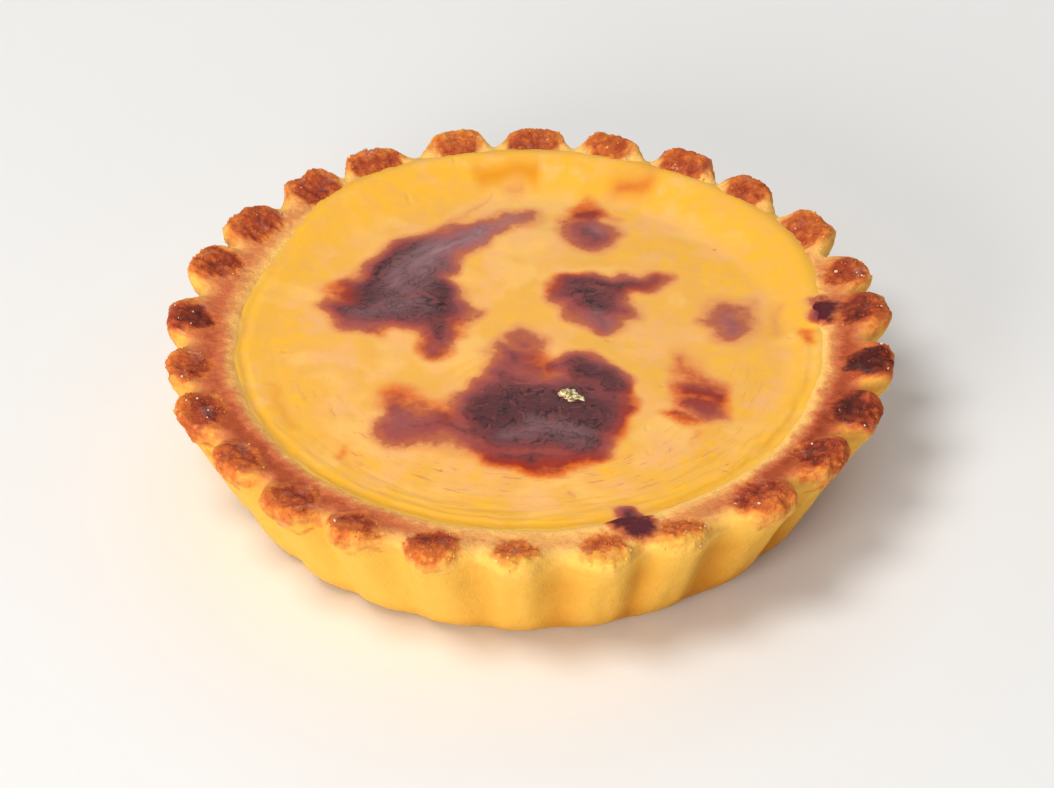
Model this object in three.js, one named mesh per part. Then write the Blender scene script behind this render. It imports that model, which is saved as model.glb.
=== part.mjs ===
// A round custard tart, baked in a small fluted tin: a thick shortcrust case, filled with set custard to just
// under its rim.
// Millimetres, +Z up. The origin is the centre of the flat underside, and -Y is the front.
// The wall leans outwards. Its flutes are faint at the foot and end in a ring of round knobs on the rim.
// The custard is one solid plug, a hair clear of the case all round, with a slightly domed and uneven top.
import * as THREE from "three";

// Driving dimensions of the case, between two flutes.
const UNDERSIDE_RADIUS = 37.6;
const FOOT_RADIUS = 41.4; // outer wall above its rounded foot
const FOOT_HEIGHT = 3.8;
const NECK_RADIUS = 46; // outer wall just under the rim
const NECK_HEIGHT = 16;
const RIM_RADIUS = 47.5; // widest point of the rim
const CASE_HEIGHT = 19; // the rim's flat band above the table
const BAND_OUTER_RADIUS = 46; // where the band starts to roll over to the outside
const BAND_INNER_RADIUS = 40.8; // where it starts to dip towards the custard
const BAND_DIP = 0.4; // how far the band falls before the custard's edge
const FLOOR_THICKNESS = 3;
const WALL_THICKNESS = 6.4; // at the foot
const INNER_CORNER = 1.8; // radius of the corner between floor and inner wall

// Flutes and knobs.
const FLUTE_COUNT = 26;
const FIRST_FLUTE = THREE.MathUtils.degToRad(-7.5);
const FLUTE_DEPTH_AT_FOOT = 0.5;
const FLUTE_DEPTH_AT_RIM = 3;
const FLUTE_FADE = 1.3; // how late the flutes deepen on their way up
const KNOB_RISE = 1.4; // how far a knob stands above the rim's band
const KNOB_INNER_RADIUS = 43.2; // where the knobs begin to rise from the band
const KNOB_LEAN = 0.22; // share of half a flute by which a knob's top may lie off its middle
const HAND_WOBBLE = 0.14; // share by which one knob's size differs from the next
const OVAL = 0.45; // how far the rim is out of round, each way
const OVAL_DIRECTION = THREE.MathUtils.degToRad(135); // the way in which the case is longest

// Custard.
const CUSTARD_RADIUS = 38.6; // where the custard meets the rim
const CUSTARD_DROP = 1.5; // the custard's edge below the rim's band
const CUSTARD_DOME = 0.9; // how far the custard's middle stands above its edge
const EDGE_ROUND = 1.4; // radius of the custard's own top edge
const SWELL = 0.18; // height of the uneven swells on its top
const FIT_GAP = 0.3; // clearance between the custard and the case

// Fineness of the faceted solids.
const CASE_SEGMENTS = FLUTE_COUNT * 8;
const CUSTARD_SEGMENTS = FLUTE_COUNT * 2;
const CURVE_DIVISIONS = 3;

const INNER_FOOT_RADIUS = FOOT_RADIUS - WALL_THICKNESS;
const CUSTARD_EDGE_HEIGHT = CASE_HEIGHT - CUSTARD_DROP;

const { lerp, smoothstep, clamp } = THREE.MathUtils;

// A repeatable number from -1 to 1 for each flute, so that no two knobs are quite alike.
function wobble(index, salt) {
  const wave = Math.sin((index + 1) * 12.9898 + salt * 78.233) * 43758.5453;
  return 2 * (wave - Math.floor(wave)) - 1;
}

// Which flute an angle belongs to, and how far round it: -1 at one valley, 0 on the ridge, 1 at the next.
function fluteAt(angle) {
  const turns = ((angle - FIRST_FLUTE) / (2 * Math.PI)) * FLUTE_COUNT;
  const nearest = Math.round(turns);
  const index = ((nearest % FLUTE_COUNT) + FLUTE_COUNT) % FLUTE_COUNT;
  const even = 2 * (turns - nearest);
  const across = even + KNOB_LEAN * wobble(index, 3) * (1 - even ** 2);
  return { across, index };
}

// 1 on a flute's ridge and 0 in the valley, with a broad round ridge and a narrower valley.
function ridge(across) {
  const dip = 0.5 - 0.5 * Math.cos(Math.PI * across);
  return 1 - dip ** 1.5;
}

// The case between two flutes: underside, rounded foot, leaning wall, rolled rim, band, inner wall, floor.
function caseProfile() {
  const path = new THREE.Path();
  path.moveTo(0, 0);
  path.lineTo(UNDERSIDE_RADIUS, 0);
  path.quadraticCurveTo(lerp(UNDERSIDE_RADIUS, FOOT_RADIUS, 0.5), 0, FOOT_RADIUS, FOOT_HEIGHT);
  path.lineTo(lerp(FOOT_RADIUS, NECK_RADIUS, 0.5), lerp(FOOT_HEIGHT, NECK_HEIGHT, 0.5));
  path.lineTo(NECK_RADIUS, NECK_HEIGHT);
  path.bezierCurveTo(
    RIM_RADIUS, NECK_HEIGHT + 0.5 * (CASE_HEIGHT - NECK_HEIGHT),
    RIM_RADIUS + 1, CASE_HEIGHT,
    BAND_OUTER_RADIUS, CASE_HEIGHT,
  );
  path.lineTo(lerp(KNOB_INNER_RADIUS, BAND_OUTER_RADIUS, 0.5), CASE_HEIGHT);
  path.lineTo(KNOB_INNER_RADIUS, CASE_HEIGHT);
  path.lineTo(BAND_INNER_RADIUS, CASE_HEIGHT - 0.4 * BAND_DIP);
  path.quadraticCurveTo(CUSTARD_RADIUS, CASE_HEIGHT - BAND_DIP, CUSTARD_RADIUS, CUSTARD_EDGE_HEIGHT);
  path.lineTo(INNER_FOOT_RADIUS, FLOOR_THICKNESS + INNER_CORNER);
  path.quadraticCurveTo(
    INNER_FOOT_RADIUS, FLOOR_THICKNESS,
    INNER_FOOT_RADIUS - INNER_CORNER, FLOOR_THICKNESS,
  );
  path.lineTo(0, FLOOR_THICKNESS);
  return path.getPoints(CURVE_DIVISIONS);
}

// The custard: flat underside on the floor, leaning side, rounded edge and shallow dome.
function custardProfile() {
  const footRadius = INNER_FOOT_RADIUS - FIT_GAP;
  const sideRadius = CUSTARD_RADIUS - FIT_GAP;
  const underside = FLOOR_THICKNESS + FIT_GAP;
  const crown = CUSTARD_EDGE_HEIGHT + CUSTARD_DOME;
  const path = new THREE.Path();
  path.moveTo(0, underside);
  path.lineTo(footRadius - INNER_CORNER, underside);
  path.quadraticCurveTo(footRadius, underside, footRadius, underside + INNER_CORNER);
  path.lineTo(sideRadius - 0.1 * EDGE_ROUND, CUSTARD_EDGE_HEIGHT - EDGE_ROUND);
  path.quadraticCurveTo(sideRadius, CUSTARD_EDGE_HEIGHT, sideRadius - EDGE_ROUND, CUSTARD_EDGE_HEIGHT);
  path.bezierCurveTo(sideRadius * 0.7, crown, sideRadius * 0.35, crown, 0, crown);
  return path.getPoints(CURVE_DIVISIONS);
}

// A solid of revolution about +Z, with each of its points then moved by shape(radius, height, angle).
function revolve(profile, segments, shape) {
  const geometry = new THREE.LatheGeometry(profile, segments);
  geometry.rotateX(Math.PI / 2);
  const position = geometry.getAttribute("position");
  for (let i = 0; i < position.count; i += 1) {
    const radius = Math.hypot(position.getX(i), position.getY(i));
    const angle = Math.atan2(position.getY(i), position.getX(i));
    const moved = shape(radius, position.getZ(i), angle);
    position.setXYZ(i, moved.radius * Math.cos(angle), moved.radius * Math.sin(angle), moved.height);
  }
  geometry.computeVertexNormals();
  return geometry;
}

// Presses the flutes into the outer wall and raises the knobs on the rim. Inside and underside stay plain.
function fluted(radius, height, angle) {
  const { across, index } = fluteAt(angle);
  const up = clamp(height / CASE_HEIGHT, 0, 1);
  const inner = lerp(UNDERSIDE_RADIUS, KNOB_INNER_RADIUS, up);
  const outer = lerp(FOOT_RADIUS - 1, NECK_RADIUS, up);
  const outside = smoothstep(radius, inner, outer);
  const depth = lerp(FLUTE_DEPTH_AT_FOOT, FLUTE_DEPTH_AT_RIM, up ** FLUTE_FADE);
  const press = ridge(across) * depth * (1 + HAND_WOBBLE * wobble(index, 1));
  const oval = OVAL * Math.cos(2 * (angle - OVAL_DIRECTION)) * up;
  const onTop = smoothstep(height, NECK_HEIGHT, CASE_HEIGHT);
  const rise = onTop * outside * ridge(across) * KNOB_RISE * (1 + HAND_WOBBLE * wobble(index, 2));
  return { radius: radius + outside * (press + oval), height: height + rise };
}

// Gives the custard's top a few shallow swells. Its side and underside stay plain.
function swelled(radius, height, angle) {
  const x = radius * Math.cos(angle);
  const y = radius * Math.sin(angle);
  const top = smoothstep(height, CUSTARD_EDGE_HEIGHT - 0.3, CUSTARD_EDGE_HEIGHT + 0.3);
  const inside = smoothstep(CUSTARD_RADIUS - radius, 0, 12);
  const swell = SWELL * (Math.sin(x * 0.13 + 0.6) + Math.sin(y * 0.16 - 0.4) - 0.6);
  return { radius, height: height + top * inside * swell };
}

function pastryCase() {
  const baked = new THREE.MeshStandardMaterial({ color: 0xe2a243, roughness: 0.72, metalness: 0 });
  const mesh = new THREE.Mesh(revolve(caseProfile(), CASE_SEGMENTS, fluted), baked);
  mesh.name = "pastry_case";
  return mesh;
}

function custardFilling() {
  const custard = new THREE.MeshStandardMaterial({ color: 0xf0ae3c, roughness: 0.35, metalness: 0 });
  const mesh = new THREE.Mesh(revolve(custardProfile(), CUSTARD_SEGMENTS, swelled), custard);
  mesh.name = "custard_filling";
  return mesh;
}

const tart = new THREE.Group();
tart.name = "custard_tart";
tart.add(pastryCase(), custardFilling());

export default tart;
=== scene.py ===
import math
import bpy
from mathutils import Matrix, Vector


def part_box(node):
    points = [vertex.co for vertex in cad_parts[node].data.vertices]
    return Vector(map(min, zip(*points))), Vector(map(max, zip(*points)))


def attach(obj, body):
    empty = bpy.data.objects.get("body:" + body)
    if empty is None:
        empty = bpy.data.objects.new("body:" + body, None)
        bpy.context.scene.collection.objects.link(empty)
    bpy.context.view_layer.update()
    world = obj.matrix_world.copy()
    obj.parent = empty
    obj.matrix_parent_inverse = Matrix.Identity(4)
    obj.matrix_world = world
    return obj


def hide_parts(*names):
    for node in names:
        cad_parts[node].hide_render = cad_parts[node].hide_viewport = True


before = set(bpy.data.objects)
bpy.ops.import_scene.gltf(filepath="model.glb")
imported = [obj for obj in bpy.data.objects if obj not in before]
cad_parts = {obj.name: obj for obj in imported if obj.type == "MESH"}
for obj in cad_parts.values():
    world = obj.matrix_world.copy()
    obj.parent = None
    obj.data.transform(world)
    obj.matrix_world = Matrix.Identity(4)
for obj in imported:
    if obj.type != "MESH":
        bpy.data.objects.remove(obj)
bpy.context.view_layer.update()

from types import SimpleNamespace

import bpy
import numpy as np
from bpy.props import FloatProperty, FloatVectorProperty, IntProperty, PointerProperty
from mathutils import Vector

bl_info = {
    "name": "Fluted Custard Tart",
    "version": (1, 0, 0),
    "blender": (4, 5, 0),
    "location": "View3D > Sidebar > Tart",
    "description": "A small fluted custard tart: shortcrust case, browned custard, crumbs and a plain studio",
    "category": "Add Mesh",
}

# Metres, Z up, -Y the front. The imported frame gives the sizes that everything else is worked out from.
MM = 0.001
CASE_LOW, CASE_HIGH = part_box("pastry_case")
CUSTARD_LOW, CUSTARD_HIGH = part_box("custard_filling")
KNOB_REACH = (CASE_HIGH.x - CASE_LOW.x) / 2
CUSTARD_REACH = (CUSTARD_HIGH.x - CUSTARD_LOW.x) / 2

# Where the custard has caught the heat: strokes in millimetres on the custard, seen from above, each from one
# point and radius to another, with how dark it is and how softly it ends.
SCORCHES = (
    # the long patch on the left, with its tail towards the back and a lobe in front
    (-24.6, 7.6, 3.0, -12.0, 8.4, 3.8, 1.00, 2.6),
    (-20.8, 12.2, 4.8, -15.2, 20.2, 4.8, 1.00, 2.8),
    (-15.4, 13.2, 3.4, -12.2, 11.4, 3.2, 1.00, 2.6),
    (-14.8, 21.8, 3.8, -7.8, 25.8, 2.7, 0.74, 2.6),
    (-7.8, 26.2, 2.8, -0.6, 30.2, 2.0, 0.50, 2.6),
    (-12.4, 4.2, 3.1, -12.0, 0.9, 2.4, 0.78, 2.6),
    (-21.8, 4.8, 1.4, -20.6, 3.8, 1.2, 0.60, 2.2),
    (-26.6, 13.0, 1.4, -24.6, 10.6, 1.8, 0.44, 3.0),
    (-15.6, 22.4, 0.5, -6.4, 35.4, 0.2, 0.30, 1.0),
    # small patch behind, with its glowing tip
    (7.6, 26.9, 2.8, 8.8, 25.2, 2.9, 0.72, 2.8),
    (6.4, 31.3, 2.3, 8.6, 30.6, 2.5, 0.48, 1.9),
    # the patch right of the middle
    (6.8, 11.8, 3.2, 10.0, 9.4, 4.4, 0.88, 3.0),
    (6.2, 13.4, 2.0, 12.4, 14.2, 2.2, 0.88, 2.2),
    (12.6, 14.8, 2.0, 17.2, 15.4, 1.5, 0.78, 2.2),
    (9.2, 6.8, 2.2, 9.8, 5.8, 1.9, 0.70, 2.4),
    # the big patch in front, its neck, its lobe and its glowing edges
    (-0.8, 2.8, 1.7, 0.2, 0.8, 2.2, 0.50, 2.6),
    (-1.4, -1.2, 2.8, -2.2, -7.0, 4.0, 0.60, 3.0),
    (3.2, -4.4, 1.4, 8.6, -5.0, 2.4, 0.72, 2.2),
    (8.8, -5.6, 3.0, 11.0, -8.0, 3.0, 0.90, 2.4),
    (-3.4, -14.2, 5.8, 6.6, -15.0, 6.7, 1.00, 3.6),
    (-1.4, -10.4, 3.0, 8.4, -10.4, 4.0, 0.76, 3.0),
    (-2.8, -18.8, 4.5, 7.6, -19.8, 4.3, 0.98, 3.2),
    (-3.8, -23.6, 1.7, 2.0, -25.2, 2.0, 0.74, 2.4),
    (2.0, -25.3, 1.8, 7.2, -23.9, 1.7, 0.68, 2.4),
    (12.6, -12.2, 1.2, 12.4, -18.0, 1.7, 0.56, 2.8),
    # the paler patch joined to it on the left
    (-17.4, -13.6, 2.8, -16.2, -17.8, 3.8, 0.60, 4.0),
    (-15.6, -18.2, 3.0, -7.6, -19.6, 3.0, 0.62, 3.6),
    (-17.0, -10.4, 1.8, -15.2, -10.6, 1.6, 0.30, 2.8),
    (-12.2, -14.2, 1.2, -11.0, -16.6, 1.4, 0.34, 2.8),
    # on the right
    (27.4, 9.6, 2.7, 28.2, 4.6, 3.1, 0.52, 3.2),
    (24.2, 6.8, 0.8, 26.0, 6.4, 1.0, 0.34, 1.8),
    (21.4, -1.6, 1.3, 22.4, -6.2, 1.3, 0.36, 2.6),
    (22.6, -8.8, 1.9, 26.6, -9.8, 1.6, 0.64, 2.8),
    (22.4, -12.2, 2.1, 25.6, -13.0, 2.0, 0.54, 2.4),
    (20.4, -14.6, 1.4, 22.0, -15.2, 1.4, 0.46, 2.0),
    (23.4, -18.0, 0.6, 23.4, -20.2, 0.6, 0.24, 1.8),
    # faint marks near the rim, and the custard's share of the spills on it
    (-24.6, -24.6, 0.8, -23.8, -23.2, 0.8, 0.26, 1.8),
    (12.4, 35.2, 0.9, 13.8, 35.4, 0.9, 0.28, 1.6),
    (-3.6, 35.7, 0.8, -1.8, 35.7, 0.8, 0.24, 1.6),
    (34.2, 10.0, 0.6, 34.6, 4.4, 0.8, 0.24, 1.6),
    (38.2, 4.2, 0.8, 38.6, 2.6, 0.8, 0.34, 1.6),
    (6.4, -31.2, 0.4, 7.8, -31.9, 0.4, 0.34, 0.7),
    (-9.0, -29.4, 0.3, 3.6, -30.4, 0.3, 0.16, 1.1),
    (39.4, 9.2, 1.5, 41.2, 8.8, 2.4, 0.98, 1.4),
    (13.8, -36.6, 1.3, 15.0, -38.4, 2.6, 0.98, 1.4),
)

# Where egg has set to clear amber, in the same way.
AMBERS = (
    (-7.5, 37.3, 0.8, 0.5, 37.2, 0.9, 0.95, 0.75),
    (-35.2, -9.6, 0.7, -31.4, -17.6, 0.6, 0.7, 1.0),
    (12.2, 35.4, 1.2, 14.2, 35.4, 1.2, 0.9, 1.4),
    (33.6, 9.0, 0.8, 34.4, 4.0, 0.8, 0.6, 1.2),
    (-26.0, -21.0, 1.0, -23.0, -25.0, 0.8, 0.45, 1.4),
)

# Where the dark skin lies smooth and a painted sheen greys it to mauve, standing in for the reflection of the
# pale surroundings, in the same way.
PAINTED_SHEENS = (
    (-24.0, 7.0, 1.2, -16.5, 9.0, 2.4, 0.5, 2.4),
    (-18.5, 13.0, 1.6, -14.0, 20.0, 2.6, 0.75, 2.2),
    (-13.0, 22.0, 2.4, -3.0, 28.8, 2.4, 1.0, 2.2),
    (-2.5, -19.4, 1.3, 7.0, -19.4, 1.9, 0.55, 2.0),
    (9.0, 7.0, 1.2, 10.8, 5.6, 1.2, 0.6, 1.8),
    (9.4, 26.6, 1.2, 8.8, 28.0, 1.2, 0.5, 1.6),
    (27.6, 7.6, 1.2, 28.8, 3.6, 1.6, 0.55, 2.0),
    (22.6, -13.6, 0.9, 26.0, -14.4, 0.9, 0.25, 1.2),
    (-17.6, -15.4, 1.2, -16.0, -17.4, 1.2, 0.15, 2.0),
)

# Where the scorching has a glowing red and orange edge, in the same way.
EMBERS = (
    (-26.8, 13.8, 1.6, -25.4, 11.4, 1.6, 1.0, 2.0),
    (-19.0, 2.0, 1.2, -15.0, 0.8, 1.2, 0.9, 1.6),
    (-13.4, -1.8, 1.0, -10.4, -1.8, 1.0, 0.8, 1.4),
    (6.6, 32.9, 2.7, 8.6, 31.0, 2.4, 1.0, 1.4),
    (3.0, 13.6, 1.2, 6.4, 15.8, 1.0, 0.8, 1.4),
    (13.6, 13.6, 1.0, 18.0, 16.2, 1.2, 0.6, 1.4),
    (-9.6, 4.4, 1.0, -8.6, 1.8, 1.0, 0.7, 1.4),
    (1.2, -2.6, 1.4, 2.2, -5.0, 1.2, 0.9, 1.6),
    (13.8, -10.4, 1.6, 14.4, -18.6, 2.2, 1.0, 2.2),
    (-5.0, -24.6, 1.8, 2.6, -27.2, 2.4, 1.0, 1.8),
    (2.6, -27.0, 2.2, 9.6, -24.8, 1.8, 1.0, 1.8),
    (-18.6, -10.0, 2.2, -13.4, -11.6, 1.6, 0.9, 2.2),
    (-12.6, -13.6, 1.4, -11.0, -17.4, 1.4, 0.9, 1.8),
    (21.6, -2.6, 1.0, 22.4, -6.0, 1.2, 0.7, 1.6),
    (22.6, -10.2, 3.2, 27.8, -10.8, 3.0, 1.0, 2.0),
    (19.4, -14.8, 2.0, 22.6, -16.0, 1.8, 1.0, 1.4),
    (23.4, -18.0, 1.0, 23.4, -20.6, 1.0, 1.0, 1.4),
    (12.0, 35.2, 1.6, 14.4, 35.4, 1.6, 0.8, 1.4),
    (-25.0, -25.0, 1.4, -23.6, -23.0, 1.4, 1.0, 1.4),
    (38.2, 5.6, 1.8, 38.8, 2.6, 1.8, 1.0, 1.4),
)

# How brown the rim is all the way round: degrees, the flat band's browning, the knobs', and the size of the
# browned spot on each knob.
RIM_BROWNING = (
    (-180, 0.70, 0.70, 1.16), (-167, 0.68, 0.44, 1.16), (-153, 0.82, 0.55, 1.14), (-139, 0.80, 0.44, 1.12),
    (-125, 0.72, 0.47, 1.10), (-111, 0.52, 0.56, 1.06), (-98, 0.28, 0.41, 0.96), (-84, 0.20, 0.26, 0.86),
    (-70, 0.24, 0.25, 0.86), (-56, 0.44, 0.40, 1.02), (-42, 0.80, 0.58, 1.18), (-28, 0.98, 0.66, 1.24),
    (-14, 0.92, 0.84, 1.26), (0, 0.80, 0.80, 1.26), (14, 0.62, 0.58, 1.22), (28, 0.44, 0.48, 1.18),
    (42, 0.28, 0.43, 1.14), (56, 0.14, 0.39, 1.12), (83, 0.06, 0.36, 1.12), (97, 0.08, 0.40, 1.10),
    (111, 0.16, 0.38, 1.10), (125, 0.28, 0.45, 1.12), (139, 0.40, 0.53, 1.14), (153, 0.46, 0.46, 1.14),
    (167, 0.56, 0.58, 1.16), (180, 0.70, 0.70, 1.16),
)

# Caramelised custard that ran over the rim: place and radius in millimetres.
SPILLS = ((15.8, -39.9, 1.4), (14.2, -38.5, 1.2), (40.5, 9.1, 1.3), (40.4, 7.4, 0.6))

# How far from the middle, in millimetres, the rim's knobs begin to rise and where they are highest.
KNOB_FOOT = 43.2
KNOB_CREST = 47

# How far the case is out of round, in millimetres, and the direction in which it is longest.
OVAL = 0.45
OVAL_DIRECTION = math.radians(135)

# How far the knobs have slid round from the tin's even spacing: a little all the way, and most at the right.
EVEN_SLIDE = math.radians(0.9)
RIGHT_SLIDE = math.radians(3.0)

# Share of half a flute by which a knob's top may lie off its middle.
KNOB_LEAN = 0.2

# Which way the tart's back and its front face, in degrees.
BEHIND = 80
FRONT = -82

# The inside of the case, which the custard hides.
WALL_THICKNESS = 6.4 * MM
FLOOR_THICKNESS = 3 * MM

# The custard's skin lies above this height in millimetres.
SKIN_HEIGHT = 14


# ---------------------------------------------------------------- settings

def length(text, value, note):
    """A length in metres that the user can change."""
    return FloatProperty(name=text, description=note, default=value, min=0, unit="LENGTH", precision=5)


def amount(text, value, note, high=1.0):
    return FloatProperty(name=text, description=note, default=value, min=0, max=high)


def colour(text, value, note):
    return FloatVectorProperty(
        name=text, description=note, default=value, size=3, min=0, max=1, subtype="COLOR"
    )


def seed(value):
    return IntProperty(name="Seed", description="Changes what is left to chance", default=value, min=0)


class CaseSettings(bpy.types.PropertyGroup):
    """The shortcrust case."""

    flutes: IntProperty(name="Flutes", description="Flutes pressed by the tin", default=26, min=8, max=48)
    first_flute: FloatProperty(
        name="First Flute", description="Direction of the first flute",
        default=math.radians(-7.5), subtype="ANGLE",
    )
    underside_radius: length("Underside Radius", 37.6 * MM, "Radius of the flat underside")
    foot_radius: length("Foot Radius", 41.1 * MM, "Outer wall above the rounded foot, between two flutes")
    foot_height: length("Foot Height", 3.8 * MM, "Height of the rounded foot")
    neck_radius: length("Neck Radius", 45.7 * MM, "Outer wall just under the rim, between two flutes")
    neck_height: length("Neck Height", 16 * MM, "Height at which the rim begins")
    rim_radius: length("Rim Radius", KNOB_REACH - 3.2 * MM, "Widest point of the rim, between two flutes")
    rim_height: length("Rim Height", CASE_HIGH.z - 1.58 * MM, "Height of the rim's flat band")
    lip_radius: length("Lip Radius", CUSTARD_REACH + 0.9 * MM, "Where the rim meets the custard")
    foot_depth: length("Flute Depth at Foot", 0.65 * MM, "How deep the flutes are at the foot")
    rim_depth: length("Flute Depth at Rim", 3.3 * MM, "How deep the flutes are at the rim")
    knob_rise: length("Knob Rise", 1.4 * MM, "How far a knob stands above the rim's band")
    unevenness: amount("Unevenness", 0.20, "Share by which one knob differs from the next")
    relief: length("Crumb Relief", 0.19 * MM, "Height of the crumbly surface")
    seed: seed(4)
    pastry: colour("Pastry", (0.90, 0.50, 0.075), "Pale baked pastry")
    golden: colour("Golden", (0.70, 0.185, 0.032), "Pastry where it starts to brown")
    lip: colour("Lip", (0.97, 0.54, 0.145), "The rim's flat band where it is palest, next to the custard")
    rosy: colour("Rosy", (0.60, 0.150, 0.052), "The rim's flat band where it has browned")
    brown: colour("Brown", (0.38, 0.058, 0.018), "Well browned pastry")
    burnt: colour("Burnt", (0.078, 0.010, 0.006), "The darkest knobs")
    # Sugar is partly a painted glint: the palest crumbs are tinted pale to stand in for sparkle, as well as
    # being glossy grains.
    sugar: colour("Sugar", (0.95, 0.66, 0.40), "The few pale, glossy grains on the knobs")
    # Deep is painted shade: the warm, deeper tone laid in the wall's grooves on the right and at its foot,
    # where shade falls.
    deep: colour("Deep", (0.60, 0.225, 0.014), "Pastry in the grooves and at the foot")
    spill: colour("Spill", (0.090, 0.007, 0.012), "Custard that ran over the rim and burnt")


class CustardSettings(bpy.types.PropertyGroup):
    """The set custard."""

    radius: length("Radius", CUSTARD_REACH + 2.6 * MM, "Reaches just under the rim's lip")
    top: length("Top", CUSTARD_HIGH.z, "Height of the custard's crown")
    dome: length("Dome", 1.0 * MM, "How far the crown stands above the edge")
    skin: length("Skin Relief", 0.10 * MM, "Height of the wrinkles in the skin")
    seed: seed(11)
    custard: colour("Custard", (0.85, 0.425, 0.066), "Set custard")
    pale: colour("Pale", (0.93, 0.515, 0.13), "Paler clouds in the custard")
    blush: colour("Blush", (0.88, 0.440, 0.150), "Pinkish clouds in the custard")
    sunny: colour("Sunny", (0.92, 0.465, 0.022), "Clear yellow near the rim")
    amber: colour("Amber", (0.80, 0.29, 0.001), "Amber where egg has set clear")
    # Olive is painted shade, laid in the fine creases and the groove near the front rim.
    olive: colour("Olive", (0.72, 0.35, 0.010), "Fine creases near the rim")
    ruck: colour("Ruck", (0.72, 0.24, 0.095), "Rucked skin in front of the scorched patches")
    orange: colour("Orange", (0.66, 0.175, 0.028), "Custard skin that is just starting to brown")
    ember: colour("Ember", (0.74, 0.140, 0.008), "The glowing edges of the scorched patches")
    glow: colour("Glow", (0.30, 0.020, 0.005), "Dark red at the inner side of the glowing edges")
    caramel: colour("Caramel", (0.34, 0.064, 0.052), "Browned custard skin")
    # Haze is a painted sheen: a mauve-grey tint standing in for the pale surroundings reflected in smooth
    # dark skin.
    painted_sheen: colour("Haze", (0.38, 0.195, 0.205), "Dark skin that lies smooth and greys over")
    burnt: colour("Burnt", (0.100, 0.020, 0.023), "The darkest skin")
    crack: colour("Crack", (0.016, 0.006, 0.006), "Cracks and flecks in the darkest skin")


class CrumbSettings(bpy.types.PropertyGroup):
    """Loose crumbs that stick to the rim."""

    density: amount("Density", 1.0, "How thickly the crumbs lie", high=4.0)
    smallest: length("Smallest", 0.12 * MM, "Radius of the smallest crumbs")
    largest: length("Largest", 0.30 * MM, "Radius of the largest crumbs")
    seed: seed(7)


class StageSettings(bpy.types.PropertyGroup):
    """Floor, lights and camera."""

    floor: colour("Floor", (0.83, 0.82, 0.80), "The plain pale floor")
    key: FloatProperty(name="Key Light", description="Power of the soft light overhead", default=6.0, min=0)
    front: FloatProperty(name="Front Light", description="Power of the low light at the front left",
                         default=6.0, min=0)
    sheen: FloatProperty(name="Back Light", description="Power of the soft light behind", default=1.0, min=0)
    daylight: FloatProperty(name="Daylight", description="Strength of the surroundings", default=0.40, min=0)
    distance: length("Camera Distance", 1087 * MM, "From the camera to the tart")
    elevation: FloatProperty(
        name="Camera Elevation", description="Height of the view above the table",
        default=math.radians(37.6), subtype="ANGLE",
    )
    azimuth: FloatProperty(
        name="Camera Azimuth", description="Turn of the view to the right of the front",
        default=math.radians(1.4), subtype="ANGLE",
    )
    width: length("View Width", 145 * MM, "How much of the floor the view takes in at the tart")


class TartSettings(bpy.types.PropertyGroup):
    """Everything that can be changed about the tart."""

    case: PointerProperty(type=CaseSettings)
    custard: PointerProperty(type=CustardSettings)
    crumbs: PointerProperty(type=CrumbSettings)
    stage: PointerProperty(type=StageSettings)


# ---------------------------------------------------------------- node trees

class Field:
    """A value that runs through a node tree. Sums on fields add the nodes that work them out."""

    def __init__(self, tree, socket):
        self.tree = tree
        self.socket = socket

    def math(self, operation, *others):
        return calculate(self.tree, operation, self, *others)

    def __add__(self, other):
        return self.math("ADD", other)

    def __sub__(self, other):
        return self.math("SUBTRACT", other)

    def __mul__(self, other):
        return self.math("MULTIPLY", other)

    def __truediv__(self, other):
        return self.math("DIVIDE", other)

    def __pow__(self, other):
        return self.math("POWER", other)

    def __rsub__(self, other):
        return calculate(self.tree, "SUBTRACT", other, self)

    __radd__ = __add__
    __rmul__ = __mul__

    def larger(self, other):
        return self.math("MAXIMUM", other)

    def smaller(self, other):
        return self.math("MINIMUM", other)

    def ramp(self, start, end, low=0.0, high=1.0, smooth=True):
        """Goes from low to high as this value goes from start to end."""
        node = self.tree.nodes.new("ShaderNodeMapRange")
        node.interpolation_type = "SMOOTHSTEP" if smooth else "LINEAR"
        names = ("Value", "From Min", "From Max", "To Min", "To Max")
        for name, value in zip(names, (self, start, end, low, high)):
            plug(self.tree, node.inputs[name], value)
        return Field(self.tree, node.outputs[0])


def plug(tree, socket, value):
    """Links a field, or sets a plain value."""
    if isinstance(value, Field):
        tree.links.new(value.socket, socket)
    else:
        socket.default_value = value


def calculate(tree, operation, *values):
    node = tree.nodes.new("ShaderNodeMath")
    node.operation = operation
    for socket, value in zip(node.inputs, values):
        plug(tree, socket, value)
    return Field(tree, node.outputs[0])


def add_node(tree, kind, inputs=(), output=0, **settings):
    """Adds a node, with its settings and its inputs by name or number, and returns one output as a field."""
    node = tree.nodes.new(kind)
    for name, value in settings.items():
        setattr(node, name, value)
    for name, value in dict(inputs).items():
        plug(tree, node.inputs[name], value)
    return Field(tree, node.outputs[output])


def split(tree, vector):
    node = tree.nodes.new("ShaderNodeSeparateXYZ")
    plug(tree, node.inputs[0], vector)
    return [Field(tree, socket) for socket in node.outputs]


def vector_of(tree, x, y, z):
    return add_node(tree, "ShaderNodeCombineXYZ", {0: x, 1: y, 2: z})


def noise(tree, place, scale, detail=2.0, roughness=0.5, distortion=0.0):
    """Soft noise from about 0.2 to 0.8, with features about 1 / scale wide."""
    inputs = {
        "Vector": place, "Scale": scale, "Detail": detail, "Roughness": roughness, "Distortion": distortion,
    }
    return add_node(tree, "ShaderNodeTexNoise", inputs)


def cells(tree, place, scale, feature="F1"):
    return add_node(tree, "ShaderNodeTexVoronoi", {"Vector": place, "Scale": scale}, feature=feature)


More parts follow.
